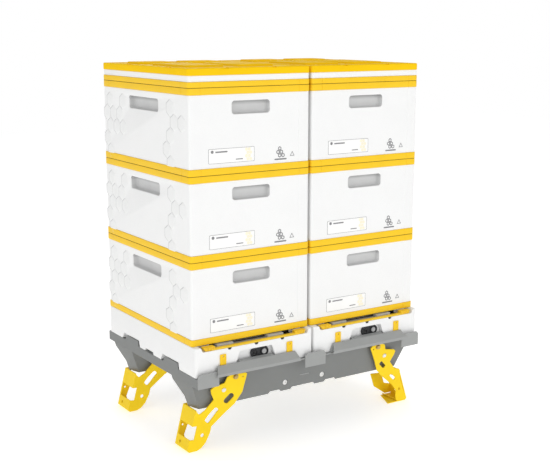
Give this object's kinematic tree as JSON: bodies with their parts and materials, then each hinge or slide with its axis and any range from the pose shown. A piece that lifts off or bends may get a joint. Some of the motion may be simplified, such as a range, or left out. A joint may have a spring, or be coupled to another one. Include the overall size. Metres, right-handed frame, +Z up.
{
  "type": "beehive",
  "caption": "Foam beehives with stacked boxes, flat roofs and ventilated bases, standing side by side on a steel stand with folding legs.",
  "frame": {"origin": "centre of the footprint on the floor, under the middle of the stand", "axes": "+Z up, +X to the right when facing the entrances, -Y towards the entrance side"},
  "size_m": [0.836, 0.614, 1.122],
  "materials": {
    "foam_white": "fine-beaded rigid foam, matt",
    "rim_yellow": "satin moulded plastic",
    "cover_yellow": "satin moulded plastic",
    "clip_yellow": "satin moulded plastic, ribbed at the grips",
    "shutter_grey": "satin moulded plastic",
    "bezel_dark": "matt moulded plastic",
    "stand_grey": "satin powder coat on sheet steel",
    "leg_yellow": "satin powder coat on sheet steel",
    "bolt_steel": "yellow-passivated zinc"
  },
  "bodies": {
    "stand": {"stand_beam_front": "stand_grey", "stand_beam_rear": "stand_grey", "stand_rail_left": "stand_grey", "stand_rail_right": "stand_grey", "stand_rail_centre": "stand_grey", "stand_fascia_front": "stand_grey", "stand_fascia_rear": "stand_grey", "pivot_bolt_front_left": "bolt_steel", "pivot_bolt_front_right": "bolt_steel", "pivot_bolt_rear_left": "bolt_steel", "pivot_bolt_rear_right": "bolt_steel"},
    "leg_front_left": {"leg_front_left": "leg_yellow", "lock_screw_front_left": "bolt_steel"},
    "leg_front_right": {"leg_front_right": "leg_yellow", "lock_screw_front_right": "bolt_steel"},
    "leg_rear_left": {"leg_rear_left": "leg_yellow", "lock_screw_rear_left": "bolt_steel"},
    "leg_rear_right": {"leg_rear_right": "leg_yellow", "lock_screw_rear_right": "bolt_steel"},
    "base_left": {"base_body_left": "foam_white", "vent_rail_left": "clip_yellow", "entrance_bezel_left": "bezel_dark"},
    "vent_slide_left": {"vent_slide_left": "shutter_grey"},
    "entrance_shutter_left": {"entrance_shutter_left": "shutter_grey"},
    "latch_left_a": {"base_latch_left_a": "rim_yellow"},
    "latch_left_b": {"base_latch_left_b": "rim_yellow"},
    "box_left_1": {"box_walls_left_1": "foam_white", "box_rim_lower_left_1": "rim_yellow", "box_rim_upper_left_1": "rim_yellow"},
    "box_left_2": {"box_walls_left_2": "foam_white", "box_rim_lower_left_2": "rim_yellow", "box_rim_upper_left_2": "rim_yellow"},
    "box_left_3": {"box_walls_left_3": "foam_white", "box_rim_lower_left_3": "rim_yellow", "box_rim_upper_left_3": "rim_yellow"},
    "roof_left": {"roof_cover_left": "cover_yellow", "roof_foam_left": "foam_white", "roof_rim_left": "rim_yellow"},
    "base_right": {"base_body_right": "foam_white", "vent_rail_right": "clip_yellow", "entrance_bezel_right": "bezel_dark"},
    "vent_slide_right": {"vent_slide_right": "shutter_grey"},
    "entrance_shutter_right": {"entrance_shutter_right": "shutter_grey"},
    "latch_right_a": {"base_latch_right_a": "rim_yellow"},
    "latch_right_b": {"base_latch_right_b": "rim_yellow"},
    "box_right_1": {"box_walls_right_1": "foam_white", "box_rim_lower_right_1": "rim_yellow", "box_rim_upper_right_1": "rim_yellow"},
    "box_right_2": {"box_walls_right_2": "foam_white", "box_rim_lower_right_2": "rim_yellow", "box_rim_upper_right_2": "rim_yellow"},
    "box_right_3": {"box_walls_right_3": "foam_white", "box_rim_lower_right_3": "rim_yellow", "box_rim_upper_right_3": "rim_yellow"},
    "roof_right": {"roof_cover_right": "cover_yellow", "roof_foam_right": "foam_white", "roof_rim_right": "rim_yellow"}
  },
  "joints": [
    {"name": "leg_front_left_fold", "type": "hinge", "parent": "stand", "child": "leg_front_left", "pos_m": [-0.268, -0.266, 0.217], "axis": [0, -0.9701, -0.2425], "range_deg": [0, 20]},
    {"name": "leg_front_right_fold", "type": "hinge", "parent": "stand", "child": "leg_front_right", "pos_m": [0.268, -0.266, 0.217], "axis": [0, 0.9701, 0.2425], "range_deg": [0, 20]},
    {"name": "leg_rear_left_fold", "type": "hinge", "parent": "stand", "child": "leg_rear_left", "pos_m": [-0.268, 0.134, 0.217], "axis": [0, -0.9701, -0.2425], "range_deg": [0, 20]},
    {"name": "leg_rear_right_fold", "type": "hinge", "parent": "stand", "child": "leg_rear_right", "pos_m": [0.268, 0.134, 0.217], "axis": [0, 0.9701, 0.2425], "range_deg": [0, 20]},
    {"name": "base_lift_left", "type": "slide", "parent": "stand", "child": "base_left", "axis": [0, 0, 1], "range_m": [0, 0.1]},
    {"name": "vent_slide_travel_left", "type": "slide", "parent": "base_left", "child": "vent_slide_left", "axis": [1, 0, 0], "range_m": [-0.01, 0.03]},
    {"name": "entrance_shutter_travel_left", "type": "slide", "parent": "base_left", "child": "entrance_shutter_left", "axis": [-1, 0, 0], "range_m": [0, 0.0312]},
    {"name": "latch_lift_left_a", "type": "slide", "parent": "base_left", "child": "latch_left_a", "axis": [0, 0, 1], "range_m": [0, 0.012]},
    {"name": "latch_lift_left_b", "type": "slide", "parent": "base_left", "child": "latch_left_b", "axis": [0, 0, 1], "range_m": [0, 0.012]},
    {"name": "box_lift_left_1", "type": "slide", "parent": "base_left", "child": "box_left_1", "axis": [0, 0, 1], "range_m": [0, 0.1]},
    {"name": "box_lift_left_2", "type": "slide", "parent": "box_left_1", "child": "box_left_2", "axis": [0, 0, 1], "range_m": [0, 0.1]},
    {"name": "box_lift_left_3", "type": "slide", "parent": "box_left_2", "child": "box_left_3", "axis": [0, 0, 1], "range_m": [0, 0.1]},
    {"name": "roof_lift_left", "type": "slide", "parent": "box_left_3", "child": "roof_left", "axis": [0, 0, 1], "range_m": [0, 0.12]},
    {"name": "base_lift_right", "type": "slide", "parent": "stand", "child": "base_right", "axis": [0, 0, 1], "range_m": [0, 0.1]},
    {"name": "vent_slide_travel_right", "type": "slide", "parent": "base_right", "child": "vent_slide_right", "axis": [1, 0, 0], "range_m": [-0.01, 0.03]},
    {"name": "entrance_shutter_travel_right", "type": "slide", "parent": "base_right", "child": "entrance_shutter_right", "axis": [-1, 0, 0], "range_m": [0, 0.0312]},
    {"name": "latch_lift_right_a", "type": "slide", "parent": "base_right", "child": "latch_right_a", "axis": [0, 0, 1], "range_m": [0, 0.012]},
    {"name": "latch_lift_right_b", "type": "slide", "parent": "base_right", "child": "latch_right_b", "axis": [0, 0, 1], "range_m": [0, 0.012]},
    {"name": "box_lift_right_1", "type": "slide", "parent": "base_right", "child": "box_right_1", "axis": [0, 0, 1], "range_m": [0, 0.1]},
    {"name": "box_lift_right_2", "type": "slide", "parent": "box_right_1", "child": "box_right_2", "axis": [0, 0, 1], "range_m": [0, 0.1]},
    {"name": "box_lift_right_3", "type": "slide", "parent": "box_right_2", "child": "box_right_3", "axis": [0, 0, 1], "range_m": [0, 0.1]},
    {"name": "roof_lift_right", "type": "slide", "parent": "box_right_3", "child": "roof_right", "axis": [0, 0, 1], "range_m": [0, 0.12]}
  ]
}
